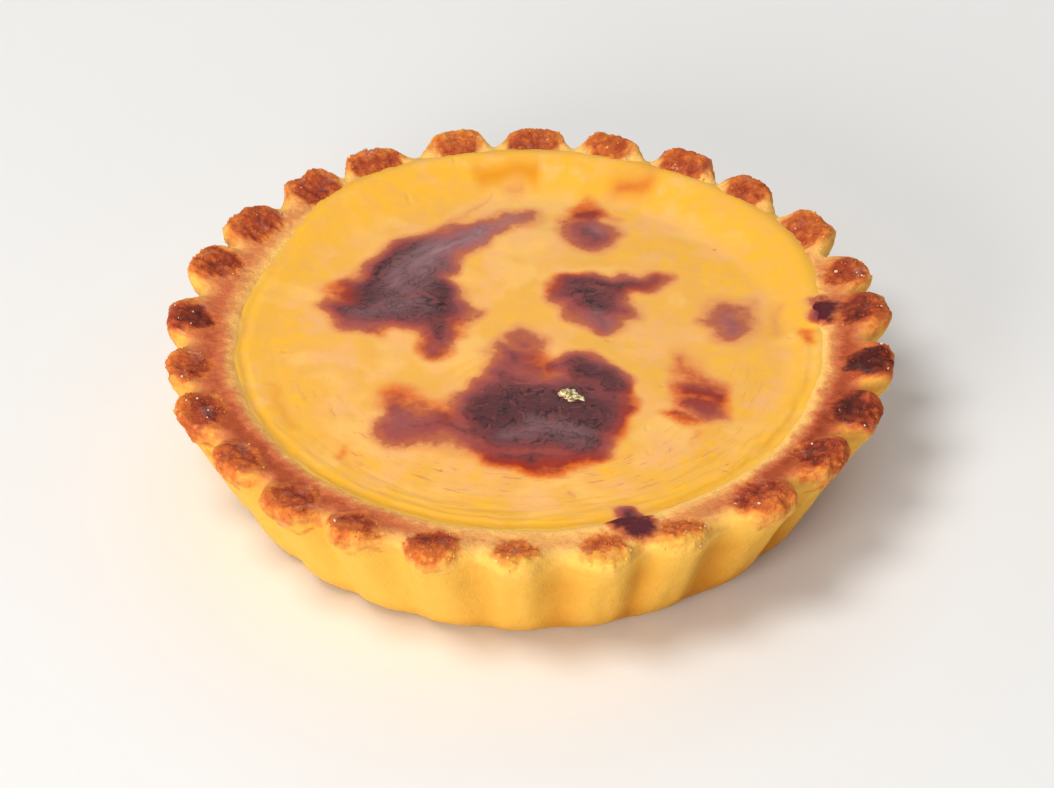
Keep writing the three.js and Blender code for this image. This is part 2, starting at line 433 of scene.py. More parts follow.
def curve_of(tree, value, points):
    """A value read off a smooth curve through the points."""
    node = tree.nodes.new("ShaderNodeFloatCurve")
    plug(tree, node.inputs["Value"], value)
    curve = node.mapping.curves[0]
    curve.points[0].location = points[0]
    curve.points[1].location = points[-1]
    for point in points[1:-1]:
        curve.points.new(*point)
    node.mapping.update()
    return Field(tree, node.outputs[0])


def geometry_tree(name, inputs):
    """A geometry tree with named inputs: {name: (socket type, value)}. Returns the tree and its fields."""
    tree = bpy.data.node_groups.new(name, "GeometryNodeTree")
    tree.interface.new_socket("Geometry", in_out="OUTPUT", socket_type="NodeSocketGeometry")
    tree.interface.new_socket("Geometry", in_out="INPUT", socket_type="NodeSocketGeometry")
    for label, (kind, _) in inputs.items():
        tree.interface.new_socket(label, in_out="INPUT", socket_type="NodeSocket" + kind)
    group = tree.nodes.new("NodeGroupInput")
    return tree, {socket.name: Field(tree, socket) for socket in group.outputs if socket.name}


def distance_of(tree, x, y):
    return calculate(tree, "SQRT", x * x + y * y)


def facing(tree, angle, degrees):
    """1 in that direction from the middle of the tart, falling to -1 in the opposite one."""
    return calculate(tree, "COSINE", angle - math.radians(degrees))


def position_mm(tree):
    """The point's place in millimetres, whole and as x, y and z."""
    place = add_node(tree, "GeometryNodeInputPosition")
    place = add_node(tree, "ShaderNodeVectorMath", {0: place, 3: 1 / MM}, operation="SCALE")
    return place, split(tree, place)


def store(tree, geometry, name, value, domain="POINT"):
    inputs = {"Geometry": geometry, "Name": name, "Value": value}
    return add_node(tree, "GeometryNodeStoreNamedAttribute", inputs, data_type="FLOAT", domain=domain)


def recall(tree, name):
    return add_node(tree, "GeometryNodeInputNamedAttribute", {"Name": name}, data_type="FLOAT")


def random_number(tree, low, high, draw):
    inputs = {2: low, 3: high, "Seed": draw}
    return add_node(tree, "FunctionNodeRandomValue", inputs, output=1, data_type="FLOAT")


def random_vector(tree, low, high, draw):
    inputs = {0: low, 1: high, "Seed": draw}
    return add_node(tree, "FunctionNodeRandomValue", inputs, data_type="FLOAT_VECTOR")


def finish_tree(tree, geometry, material):
    """Realizes instances, sets the material and links the result to the tree's output."""
    geometry = add_node(tree, "GeometryNodeRealizeInstances", {"Geometry": geometry})
    geometry = add_node(tree, "GeometryNodeSetMaterial", {"Geometry": geometry, "Material": material})
    output = tree.nodes.new("NodeGroupOutput")
    plug(tree, output.inputs[0], geometry)


def grow(name, mesh, tree, inputs, material):
    """Runs a geometry tree on a mesh once, and returns the result as a plain, smooth object."""
    source = bpy.data.objects.new(name + "_source", mesh)
    bpy.context.collection.objects.link(source)
    modifier = source.modifiers.new("Shape", "NODES")
    modifier.node_group = tree
    for item in tree.interface.items_tree:
        if item.in_out == "INPUT" and item.name in inputs:
            modifier[item.identifier] = inputs[item.name][1]
    depsgraph = bpy.context.evaluated_depsgraph_get()
    grown = bpy.data.meshes.new_from_object(source.evaluated_get(depsgraph), depsgraph=depsgraph)
    source.modifiers.clear()
    bpy.data.objects.remove(source)
    grown.name = name
    grown.materials.clear()
    grown.materials.append(material)
    grown.shade_smooth()
    piece = bpy.data.objects.new(name, grown)
    bpy.context.collection.objects.link(piece)
    return piece


# ---------------------------------------------------------------- meshes

def bend(controls, rows):
    """Points along the Bezier curve of those controls, without its first point."""
    share = np.linspace(0, 1, rows + 1)[1:, None]
    points = [np.array(control, float) for control in controls]
    while len(points) > 1:
        points = [a + (b - a) * share for a, b in zip(points, points[1:])]
    return points[0]


def case_profile(case):
    """The case between two flutes, as (radius, height), from its underside round the rim to its inside."""
    height = case.rim_height
    lip = case.lip_radius
    foot = (case.foot_radius, case.foot_height)
    neck = (case.neck_radius, case.neck_height)
    roll = case.rim_radius - 2.4 * MM
    band = lip + 2.6 * MM
    floor_radius = case.foot_radius - WALL_THICKNESS
    underside = (case.underside_radius, 0)
    middle = (case.underside_radius + foot[0]) / 2
    rim = (case.rim_radius, (case.neck_height + height) / 2)
    stretches = (
        ([(0, 0), underside], 4),
        ([underside, (middle, 0), foot], 11),
        ([foot, neck], 34),
        ([neck, rim, (case.rim_radius + 0.2 * MM, height), (roll, height)], 16),
        ([(roll, height), (band, height - 0.1 * MM)], 11),
        ([(band, height - 0.1 * MM), (lip + 0.6 * MM, height - 0.2 * MM), (lip, height - 2.4 * MM)], 14),
        ([(lip, height - 2.4 * MM), (floor_radius, FLOOR_THICKNESS)], 5),
        ([(floor_radius, FLOOR_THICKNESS), (0, FLOOR_THICKNESS)], 3),
    )
    return np.vstack([np.zeros((1, 2))] + [bend(controls, rows) for controls, rows in stretches])


def lathe_mesh(name, profile, segments):
    """A closed surface of revolution about Z, from a profile that starts and ends on the axis."""
    angles = np.linspace(0, 2 * math.pi, segments, endpoint=False)
    rings = profile[1:-1]
    around = np.stack([np.cos(angles), np.sin(angles)], axis=1)
    flat = rings[:, None, :1] * around[None]
    heights = np.broadcast_to(rings[:, None, 1:], (len(rings), segments, 1))
    points = np.concatenate([flat, heights], axis=2).reshape(-1, 3)
    ends = np.array([[0, 0, profile[0][1]], [0, 0, profile[-1][1]]])
    index = np.arange(len(rings) * segments).reshape(len(rings), segments)
    turned = np.roll(index, -1, axis=1)
    quads = np.stack([index[:-1], turned[:-1], turned[1:], index[1:]], axis=2).reshape(-1, 4)
    bottom, top = len(points), len(points) + 1
    faces = quads.tolist()
    faces += [(bottom, b, a) for a, b in zip(index[0].tolist(), turned[0].tolist())]
    faces += [(top, a, b) for a, b in zip(index[-1].tolist(), turned[-1].tolist())]
    mesh = bpy.data.meshes.new(name)
    mesh.from_pydata(np.vstack([points, ends]).tolist(), [], faces)
    return mesh


def disc_points(cells_across):
    """The points of a square grid drawn out into a disc of radius 1, with cells of even size."""
    side = np.linspace(-1, 1, cells_across + 1)
    a, b = np.meshgrid(side, side)
    wide = np.abs(a) >= np.abs(b)
    radius = np.where(wide, a, b)
    with np.errstate(divide="ignore", invalid="ignore"):
        share = np.where(radius == 0, 0, np.where(wide, b / a, a / b))
    angle = np.where(wide, share * math.pi / 4, math.pi / 2 - share * math.pi / 4)
    return np.stack([radius * np.cos(angle), radius * np.sin(angle)], axis=2)


def plug_mesh(name, custard, cells_across=288):
    """The custard: an evenly meshed round top with a side that leans in to a flat underside."""
    top = disc_points(cells_across)
    count = cells_across + 1
    index = np.arange(count * count).reshape(count, count)
    share = np.hypot(top[..., 0], top[..., 1])
    height = custard.top - custard.dome * share ** 2.2
    points = np.concatenate([top * custard.radius, height[..., None]], axis=2).reshape(-1, 3)
    quads = np.stack([index[:-1, :-1], index[:-1, 1:], index[1:, 1:], index[1:, :-1]], axis=2).reshape(-1, 4)
    edge = np.concatenate([index[0, :-1], index[:-1, -1], index[-1, :0:-1], index[:0:-1, 0]])
    outline = points[edge]
    faces = quads.tolist()
    upper = edge
    base = len(points)
    # The rings below the top: share of its radius, and height.
    rows = ((0.985, custard.top - 3 * MM), (0.93, 6 * MM), (0.88, 3.4 * MM))
    for shrink, level in rows:
        ring = outline * (shrink, shrink, 0) + (0, 0, level)
        points = np.vstack([points, ring])
        lower = np.arange(base, base + len(edge))
        base += len(edge)
        faces += np.stack([upper, lower, np.roll(lower, -1), np.roll(upper, -1)], axis=1).tolist()
        upper = lower
    points = np.vstack([points, [0, 0, rows[-1][1]]])
    faces += [(base, b, a) for a, b in zip(upper.tolist(), np.roll(upper, -1).tolist())]
    mesh = bpy.data.meshes.new(name)
    mesh.from_pydata(points.tolist(), [], faces)
    return mesh


def ripple(x, y, size, salt):
    """Smooth repeatable unevenness from about -1 to 1, with features about as wide as size."""
    random = np.random.default_rng(salt)
    total = np.zeros_like(x)
    for _ in range(7):
        angle, phase = random.uniform(0, 2 * math.pi, 2)
        pitch = 2 * math.pi / (size * random.uniform(0.7, 1.8))
        total += np.sin(pitch * (x * math.cos(angle) + y * math.sin(angle)) + phase)
    return total / 3.2


def scorch_field(x, y, strokes):
    """How dark each point of the custard is, from 0 to 1, from strokes with wandering edges."""
    wander_x = x + 0.8 * ripple(x, y, 9, 1) + 0.35 * ripple(x, y, 3.4, 2)
    wander_y = y + 0.8 * ripple(x, y, 9, 3) + 0.35 * ripple(x, y, 3.4, 4)
    darkest = np.zeros_like(x)
    for x0, y0, r0, x1, y1, r1, strength, soft in strokes:
        run_x, run_y = x1 - x0, y1 - y0
        along = ((wander_x - x0) * run_x + (wander_y - y0) * run_y) / (run_x ** 2 + run_y ** 2)
        along = np.clip(along, 0, 1)
        gap = np.hypot(wander_x - x0 - along * run_x, wander_y - y0 - along * run_y)
        inside = np.clip((r0 + along * (r1 - r0) + soft - gap) / (2 * soft), 0, 1)
        inside = strength * inside ** 1.15
        darkest = np.maximum(darkest, inside) + 0.25 * np.minimum(darkest, inside) * (1 - darkest)
    return np.clip(darkest, 0, 1)


def mark_points(mesh, name, values):
    attribute = mesh.attributes.new(name, "FLOAT", "POINT")
    attribute.data.foreach_set("value", np.asarray(values, np.float32))


# ---------------------------------------------------------------- materials

def new_material(name, roughness, **sockets):
    """A Principled material. Returns it with its tree, its shader and the object's own coordinates in mm."""
    material = bpy.data.materials.new(name)
    material.use_nodes = True
    tree = material.node_tree
    shader = tree.nodes["Principled BSDF"]
    shader.inputs["Roughness"].default_value = roughness
    for label, value in sockets.items():
        shader.inputs[label.replace("_", " ").title()].default_value = value
    place = add_node(tree, "ShaderNodeTexCoord", output=3)
    place = add_node(tree, "ShaderNodeVectorMath", {0: place, 3: 1 / MM}, operation="SCALE")
    return material, tree, shader, place


def attribute(tree, name):
    return add_node(tree, "ShaderNodeAttribute", output=2, attribute_name=name)


def mix(tree, share, first, second):
    """A share of the second colour laid over the first. Either may be a field or a plain colour."""
    node = tree.nodes.new("ShaderNodeMix")
    node.data_type = "RGBA"
    plug(tree, node.inputs[0], share)
    for socket, value in ((node.inputs[6], first), (node.inputs[7], second)):
        plug(tree, socket, value if isinstance(value, Field) else (*value, 1))
    return Field(tree, node.outputs[2])


def colour_ramp(tree, value, stops):
    """A colour read off a ramp through (place, colour) stops."""
    node = tree.nodes.new("ShaderNodeValToRGB")
    node.color_ramp.interpolation = "EASE"
    while len(node.color_ramp.elements) < len(stops):
        node.color_ramp.elements.new(0.5)
    for element, (place, tint) in zip(node.color_ramp.elements, stops):
        element.position = place
        element.color = (*tint, 1)
    plug(tree, node.inputs[0], value)
    return Field(tree, node.outputs[0])


def bump(tree, height, distance, strength=1.0, normal=None):
    inputs = {"Height": height, "Distance": distance, "Strength": strength}
    if normal is not None:
        inputs["Normal"] = normal
    return add_node(tree, "ShaderNodeBump", inputs)


def between(first, second, share):
    return tuple(a + (b - a) * share for a, b in zip(first, second))


def shortcrust_material(case):
    """Dry, crumbly pastry that browns from golden to nearly black, with a little melted sugar on the dark,
    and painted shade deep in the wall's grooves on the right and at the foot.
    """
    material, tree, shader, place = new_material("baked_shortcrust", 0.7, subsurface_weight=0.15)
    browning_and_foot_shade = attribute(tree, "browning_and_foot_shade")
    cap = attribute(tree, "cap")
    spill = attribute(tree, "spill")
    lump = noise(tree, place, 0.42, detail=3, roughness=0.55)
    grain = noise(tree, place, 0.9, detail=5, roughness=0.62)
    speck = noise(tree, place, 2.4, detail=3, roughness=0.6)
    cloud = noise(tree, place, 0.16, detail=3)
    grains = cells(tree, place, 0.95, feature="SMOOTH_F1").ramp(0.62, 0.12)
    uneven = (lump - 0.5) * 0.44 + (grain - 0.5) * 0.42 + (speck - 0.5) * 0.36 + (0.5 - grains) * cap * 0.16
    heat = browning_and_foot_shade + uneven * browning_and_foot_shade.ramp(0.02, 0.40, 0.22, 1.0) * (1 - spill) + (cloud - 0.5) * 0.10
    tint = colour_ramp(tree, heat, (
        (0.05, case.pastry),
        (0.17, between(case.pastry, case.golden, 0.55)),
        (0.30, case.golden),
        (0.46, between(case.golden, case.brown, 0.55)),
        (0.62, case.brown),
        (0.80, between(case.brown, case.burnt, 0.65)),
        (1.00, case.burnt),
    ))
    # Painted shade: the wall is tinted deep orange in its grooves on the right and towards the foot.
    tint = mix(tree, attribute(tree, "painted_shade"), tint, case.deep)
    band_heat = attribute(tree, "band") + (grain - 0.5) * 0.42 + (speck - 0.5) * 0.2 + (lump - 0.5) * 0.2
    flat_tint = colour_ramp(tree, band_heat, (
        (0.04, case.lip),
        (0.18, between(case.lip, case.rosy, 0.36)),
        (0.34, between(case.lip, case.rosy, 0.72)),
        (0.54, case.rosy),
        (0.78, between(case.rosy, case.brown, 0.8)),
        (1.00, between(case.brown, case.burnt, 0.3)),
    ))
    tint = mix(tree, attribute(tree, "rim_top") * cap.ramp(0.90, 0.30), tint, flat_tint)
    tint = mix(tree, (spill + (grain - 0.5) * 0.7).ramp(0.34, 0.86), tint, case.spill)
    plug(tree, shader.inputs["Base Color"], tint)
    plug(tree, shader.inputs["Roughness"], 0.76 - browning_and_foot_shade.ramp(0.4, 1.0) * 0.24)
    melted = noise(tree, place, 0.36, detail=1).ramp(0.58, 0.66)
    plug(tree, shader.inputs["Coat Weight"], (cap.ramp(0.25, 0.55) * melted * 0.6).larger(spill * 0.15))
    shader.inputs["Coat Roughness"].default_value = 0.08
    shader.inputs["Specular IOR Level"].default_value = 0.16
    shader.inputs["Subsurface Radius"].default_value = (1.0, 0.42, 0.14)
    shader.inputs["Subsurface Scale"].default_value = 1.4 * MM
    height = grain * 0.6 + speck * 0.6 + grains * cap * 0.7
    plug(tree, shader.inputs["Normal"], bump(tree, height, 0.22 * MM, 1 - spill * 0.7))
    return material


def fresh_custard(tree, custard, place, cloud, mottle):
    """The custard's own yellow, with pale and pinkish clouds, a clear ring near the rim and rucked skin in
    front, plus painted shade in the fine creases and along the groove at the front rim.
    """
    x, y, z = split(tree, place)
    radius = distance_of(tree, x, y)
    patchy = noise(tree, vector_of(tree, x, y, z + 40), 0.15, detail=3, roughness=0.55)
    blush = patchy.ramp(0.48, 0.66) * radius.ramp(39, 34, 0.2, 0.8)
    sunny = mottle.ramp(0.38, 0.70) * cloud.ramp(0.54, 0.38) * radius.ramp(18, 32, 0.45, 1.0)
    clear = radius.ramp(33, 38.5) * mottle.ramp(0.30, 0.60) * 0.8
    tint = mix(tree, cloud.ramp(0.46, 0.60) * 0.8, custard.custard, custard.pale)
    tint = mix(tree, blush, tint, custard.blush)
    tint = mix(tree, sunny.larger(clear), tint, custard.sunny)

    turn = y.math("ARCTAN2", x)
    front = (turn + math.radians(90)).math("ABSOLUTE").ramp(math.radians(100), math.radians(40))
    # Painted shade: fine olive lines in the creases near the front rim, and a darker olive line along the
    # groove under the front lip, where shade falls.
    rings = noise(tree, vector_of(tree, turn * 5, radius * 1.1, z * 0), 0.9, detail=3)
    crease_shade = rings.ramp(0.55, 0.62) * radius.ramp(31, 37, 0.14, 0.44)
    groove_shade = (radius + mottle).ramp(38.5, 39.1) * (radius + mottle).ramp(39.9, 39.4) * 0.5
    tint = mix(tree, crease_shade.larger(groove_shade) * front, tint, custard.olive)
    rucks = noise(tree, vector_of(tree, turn * 9, radius * 1.5, z * 0 + 7), 0.9, detail=4, roughness=0.65)
    rucks = rucks.ramp(0.58, 0.66) * radius.ramp(25, 29) * radius.ramp(36, 33) * front
    tint = mix(tree, rucks * 0.7, tint, custard.ruck)
    return mix(tree, attribute(tree, "amber"), tint, custard.amber)


def scorched_skin(tree, custard, heat):
    """Skin from just browning to nearly black, which glows red and orange where its edge caught the heat."""
    skin = colour_ramp(tree, heat, (
        (0.05, between(custard.blush, custard.orange, 0.25)),
        (0.20, between(custard.orange, custard.blush, 0.45)),
        (0.36, between(custard.orange, custard.caramel, 0.60)),
        (0.52, custard.caramel),
        (0.70, between(custard.caramel, custard.burnt, 0.62)),
        (0.95, custard.burnt),
    ))
    glowing = colour_ramp(tree, heat, (
        (0.03, custard.amber),
        (0.23, custard.ember),
        (0.47, custard.glow),
        (0.85, custard.burnt),
    ))
    return mix(tree, attribute(tree, "ember"), skin, glowing)


def creases(tree, place):
    """Fine creases, which run slantwise on the left of the tart and straight across on the right."""
    x, y, z = split(tree, place)
    lie = x.ramp(-9, -3, math.radians(44), math.radians(-4))
    cosine, sine = calculate(tree, "COSINE", lie), calculate(tree, "SINE", lie)
    along, aside = x * cosine + y * sine, y * cosine - x * sine
    return noise(tree, vector_of(tree, along * 0.30, aside * 1.3, z), 0.8, detail=4, roughness=0.6)


def custard_material(custard):
    """Set egg custard with a satin skin, clouded in pale and deep yellow and scorched in patches, with a
    painted sheen where the dark skin lies smooth.
    """
    material, tree, shader, place = new_material("set_custard", 0.42, subsurface_weight=0.2)
    scorch = attribute(tree, "scorch")
    painted_sheen = attribute(tree, "painted_sheen")
    cloud = noise(tree, place, 0.085, detail=3, roughness=0.55, distortion=0.4)
    mottle = noise(tree, place, 0.36, detail=4, roughness=0.6)
    fine = noise(tree, place, 1.3, detail=4, roughness=0.6)
    creased = creases(tree, place)

    coarse = cloud.ramp(0.40, 0.60, 0.5, 1.5)
    uneven = (mottle - 0.5) * 0.34 + (fine - 0.5) * coarse * 0.16 + (creased - 0.5) * 0.10
    heat = scorch + uneven * scorch.ramp(0.0, 0.35) * scorch.ramp(1.1, 0.6, 0.5, 1.0)
    tint = fresh_custard(tree, custard, place, cloud, mottle)
    tint = mix(tree, heat.ramp(0.02, 0.28), tint, scorched_skin(tree, custard, heat))
    # Painted sheen: where the dark skin lies smooth it is tinted mauve-grey, as if the pale surroundings
    # reflected in it.
    painted_sheen_share = painted_sheen * scorch.ramp(0.18, 0.60) * creased.ramp(0.34, 0.62, 0.55, 1.0)
    tint = mix(tree, painted_sheen_share * 0.76, tint, custard.painted_sheen)

    # Where the skin is darkest it has rumpled, with reddish ridges and nearly black cracks and flecks.
    rumple = noise(tree, place, 0.46, detail=2, distortion=1.2) - 0.5
    rough = scorch.ramp(0.55, 0.85) * (1 - painted_sheen) * mottle.ramp(0.36, 0.54)
    tint = mix(tree, rumple.ramp(0.02, 0.20) * rough * 0.35, tint, custard.caramel)
    cracks = rumple.math("ABSOLUTE").ramp(0.040, 0.014) * rough
    flecks = cells(tree, place, 0.55).ramp(0.10, 0.05) * creased.ramp(0.54, 0.62)
    flecks = flecks * scorch.ramp(0.8, 0.95) * (1 - painted_sheen)
    tint = mix(tree, flecks.larger(cracks * 0.80), tint, custard.crack)

    x, y, _ = split(tree, place)
    dots = cells(tree, vector_of(tree, x, y, 3), 0.10).ramp(0.034, 0.018)
    tint = mix(tree, dots * 0.6, tint, custard.orange)
    plug(tree, shader.inputs["Base Color"], tint)
    plug(tree, shader.inputs["Roughness"], 0.46 + (mottle - 0.5) * 0.16 - scorch * 0.08)
    glossy = (painted_sheen * scorch * 0.30 + 0.05).larger(attribute(tree, "amber") * 0.2)
    plug(tree, shader.inputs["Coat Weight"], glossy)
    shader.inputs["Coat Roughness"].default_value = 0.26
    shader.inputs["Specular IOR Level"].default_value = 0.20
    shader.inputs["Subsurface Radius"].default_value = (1.0, 0.45, 0.12)
    shader.inputs["Subsurface Scale"].default_value = 2.0 * MM
    wrinkles = bump(tree, creased, 0.26 * MM, scorch.ramp(0.2, 0.8) * 0.7 + 0.04)
    plug(tree, shader.inputs["Normal"], bump(tree, fine, 0.05 * MM, 0.5, wrinkles))
    return material


def crumb_material(case):
    """Small bits of browned pastry, each with its own tone; the palest few are glossy sugar grains with a
    partly painted glint.
    """
    material, tree, shader, place = new_material("pastry_crumbs", 0.6, subsurface_weight=0.1)
    browning_and_foot_shade = attribute(tree, "browning_and_foot_shade")
    tone = attribute(tree, "tone")
    grain = noise(tree, place, 4.0, detail=3)
    heat = browning_and_foot_shade * 1.10 + (tone - 0.5) * 0.24 + (grain - 0.5) * 0.2
    tint = colour_ramp(tree, heat, (
        (0.05, case.pastry),
        (0.35, case.golden),
        (0.55, between(case.golden, case.brown, 0.7)),
        (0.75, case.brown),
        (1.00, between(case.brown, case.burnt, 0.8)),
    ))
    # The palest few crumbs are glossy sugar grains, and their pale tint is partly a painted glint.
    sugar = tone.ramp(0.91, 0.94)
    tint = mix(tree, sugar, tint, case.sugar)
    plug(tree, shader.inputs["Base Color"], tint)
    plug(tree, shader.inputs["Coat Weight"], sugar)
    shader.inputs["Coat Roughness"].default_value = 0.1
    shader.inputs["Subsurface Scale"].default_value = 0.5 * MM
    shader.inputs["Specular IOR Level"].default_value = 0.3
    plug(tree, shader.inputs["Normal"], bump(tree, grain, 0.08 * MM))
    return material


def flake_material():
    """A dry pale flake of unbaked-looking pastry."""
    material, tree, shader, place = new_material("pale_flake", 0.75, subsurface_weight=0.2)
    grain = noise(tree, place, 2.2, detail=4)
    tint = colour_ramp(tree, grain, (
        (0.38, (0.22, 0.13, 0.04)),
        (0.48, (0.64, 0.50, 0.22)),
        (0.60, (0.88, 0.80, 0.52)),
    ))
    plug(tree, shader.inputs["Base Color"], tint)
    shader.inputs["Subsurface Scale"].default_value = 0.8 * MM
    plug(tree, shader.inputs["Normal"], bump(tree, grain, 0.1 * MM))
    return material


def floor_material(stage):
    """Plain pale floor with the faintest unevenness."""
    material, tree, shader, place = new_material("pale_floor", 0.6)
    cloud = noise(tree, place, 0.02, detail=3)
    tint = mix(tree, cloud.ramp(0.35, 0.65) * 0.3, stage.floor, between(stage.floor, (1, 1, 1), 0.15))
    plug(tree, shader.inputs["Base Color"], tint)
    return material


# ---------------------------------------------------------------- the case

def flute_at(tree, given, angle, chance):
    """How far across its flute a point lies, from -1 to 1, and a function that makes each flute differ."""
    slide = facing(tree, angle, -14).ramp(0.70, 1.0) * RIGHT_SLIDE + EVEN_SLIDE
    turns = (angle - slide - given["First Flute"]) / (2 * math.pi) * given["Flutes"]
    nearest = turns.math("ROUND")
    number = nearest.math("FLOORED_MODULO", given["Flutes"])

    def differs(salt):
        """A number from -1 to 1 for each flute."""
        key = number * 3.17 + salt * 11.3 + chance
        return add_node(tree, "ShaderNodeTexWhiteNoise", {"W": key}, noise_dimensions="1D") * 2 - 1

    even = (turns - nearest) * 2
    return even + differs(3) * KNOB_LEAN * (1 - even * even), differs


def case_fields(tree, given):
    """What the shape and the browning of the case are both worked out from, in millimetres."""
    at = SimpleNamespace()
    at.place, (at.x, at.y, at.z) = position_mm(tree)
    at.radius = distance_of(tree, at.x, at.y)
    at.angle = at.y.math("ARCTAN2", at.x)
    at.chance = given["Seed"] * 31.7
    at.across, at.differs = flute_at(tree, given, at.angle, at.chance)
    at.height = given["Rim Height"] / MM
    at.neck = given["Neck Height"] / MM
    at.down = (at.height - at.z).larger(0)
    at.behind = facing(tree, at.angle, BEHIND)
    at.front = facing(tree, at.angle, FRONT).ramp(0.55, 0.95)
    at.edge = noise(tree, at.place, 0.5, detail=3, roughness=0.6) - 0.5
    return at


def press_flutes(tree, given, at):
    """Where each point goes as the flutes are pressed. Adds ridge, outside and reach to the fields."""
    # Towards the rim the ridges widen into knobs with narrow valleys between them, least so in front.
    dip = 0.5 - calculate(tree, "COSINE", at.across * math.pi) * 0.5
    at.ridge = 1 - dip ** (2.0 + at.z.ramp(10, 17) * (1.6 - at.front * 2.2 - at.behind.larger(0) * 0.7))
    up = (at.z / at.height).larger(0).smaller(1)
    inner = up.ramp(0, 1, given["Underside Radius"] / MM, KNOB_FOOT, smooth=False)
    outer = up.ramp(0, 1, given["Foot Radius"] / MM - 1, given["Neck Radius"] / MM, smooth=False)
    at.outside = at.radius.ramp(inner, outer)
    depth = (up ** 1.1).ramp(0, 1, given["Foot Depth"] / MM, given["Rim Depth"] / MM, smooth=False)
    press = at.ridge * depth * (1 + at.differs(1) * given["Unevenness"])

    # The lip wanders in and out a little, and the case is slightly out of round.
    oval = calculate(tree, "COSINE", (at.angle - OVAL_DIRECTION) * 2) * OVAL * up
    cosine, sine = calculate(tree, "COSINE", at.angle), calculate(tree, "SINE", at.angle)
    wander = noise(tree, vector_of(tree, cosine * 6, sine * 6, at.chance), 0.35, detail=2)
    wander = (wander - 0.5) * 1.6
    lip = at.z.ramp(10, 17) * at.radius.ramp(44, 40)
    flat = vector_of(tree, at.x, at.y, 0)
    lump = at.z.ramp(1, 6) * at.outside * (noise(tree, flat, 0.22, detail=3) - 0.5) * 1.1
    at.reach = at.radius + at.outside * (press + oval) + lip * wander + lump

    rise = at.z.ramp(at.neck, at.height) * at.ridge * at.outside * (given["Knob Rise"] / MM)
    rise = rise * (1 + at.differs(2) * given["Unevenness"] * 1.6)
    crown = 1 - ((at.reach - KNOB_CREST) / 5.5) ** 2
    sag = (noise(tree, flat, 0.12, detail=1) - 0.5) * at.z.ramp(8, 17) * 0.8
    new_z = (at.z + rise * crown.larger(0.3) + sag) * MM
    return vector_of(tree, cosine * at.reach * MM, sine * at.reach * MM, new_z)


def brown_knobs(tree, at, heat, size):
    """The knobs' browned caps, and how dark they are: darkest on the inner crest, paling down the wall."""
    size = size * 0.9 * (1 + at.differs(5) * 0.10)
    speck = noise(tree, at.place, 1.5, detail=2, roughness=0.6) - 0.5
    outward = (at.reach - KNOB_CREST + at.front).larger(0)
    inward = (46.6 - at.front * 0.6 - at.reach).larger(0) * at.z.ramp(at.neck, at.neck + 1)
    aside = at.across.math("ABSOLUTE") / size
    spread = aside * aside + ((at.down + outward * 0.7) / (size * 5.8)) ** 2 + (inward / 4.6) ** 2
    spread = calculate(tree, "SQRT", spread) + at.edge * 0.9 + speck * 0.35
    cap = spread.ramp(1.12, 0.42) * at.radius.ramp(40.6, 42.6) * at.z.ramp(9, 12)
    lean = (0.14 - ((at.reach - 45.6 + at.front) / 3.0) ** 2 * 0.16).larger(-0.14)
    return cap, cap * (heat + at.differs(4) * 0.06 + lean)


def brown_band(tree, at, heat):
    """How brown the flat band is. It pales inwards and between knobs, and sooner behind and at the right."""
    streak = noise(tree, vector_of(tree, at.angle * 22, at.radius * 0.16, at.chance), 1.6, detail=3) - 0.5
    valley = at.radius.ramp(43.4, 45.8, 1, heat.ramp(0.30, 0.80, 0.15, 0.55))
    over = at.behind.ramp(0.15, 0.70)
    late = facing(tree, at.angle, -20).larger(0) * 0.8
    ragged = at.radius + streak * 0.9 + at.edge * 2.4
    band = ragged.ramp(over * 1.8 + late + 39.4, over * 1.6 + late + 43.4) * valley * heat
    return (band + streak * 0.06).larger(0)


def spilt_custard(tree, at):
    """1 where custard ran over the rim and burnt, 0 elsewhere, with a ragged edge."""
    spill = 0.0
    for x, y, size in SPILLS:
        gap = distance_of(tree, at.x - x, at.y - y) + at.edge * 3.4
        spill = gap.ramp(size + 3.0, size - 0.9).larger(spill)
    return spill * (at.z + at.edge * 2).ramp(at.neck + 0.6, at.neck + 2.2)


def wall_shade(tree, at):
    """Painted shade on the wall, warm and deep orange: darkest in the grooves on the right, on the side
    turned from the light, and a little deeper at the foot.
    """
    right = facing(tree, at.angle, -40).ramp(0.25, 0.95)
    far = facing(tree, at.angle, -22).ramp(0.72, 1.0)
    groove = 0.15 + (1 - at.ridge) * 0.58 + at.z.ramp(8, 1) * 0.20
    shade = right * groove + far * (0.20 + at.z.ramp(12, 2) * 0.40)
    shade = shade + at.z.ramp(5, 1) * 0.20 + at.edge * 0.2
    return (shade * at.outside * at.z.ramp(17.5, 12)).larger(0)


def roughen_crust(tree, geometry, relief):
    """Crumbly relief along the normal: coarse on the browned knobs, fine elsewhere, none underneath."""
    place, (_, _, z) = position_mm(tree)
    cap = recall(tree, "cap")
    spill = recall(tree, "spill")
    lumps = noise(tree, place, 0.5, detail=2, roughness=0.6) - 0.5
    fine = noise(tree, place, 1.6, detail=2, roughness=0.6) - 0.5
    grains = cells(tree, place, 0.95, feature="SMOOTH_F1").ramp(0.62, 0.12) - 0.5
    rough = lumps * (1.4 + cap * 5.0) + fine * (0.8 + cap * 2.6) + grains * (0.1 + cap * 1.3)
    rough = (rough * (1 - spill * 0.8) + spill * 2.6) * z.ramp(0.0, 1.0)
    normal = add_node(tree, "GeometryNodeInputNormal")
    offset = add_node(tree, "ShaderNodeVectorMath", {0: normal, 3: rough * relief}, operation="SCALE")
    return add_node(tree, "GeometryNodeSetPosition", {"Geometry": geometry, "Offset": offset})


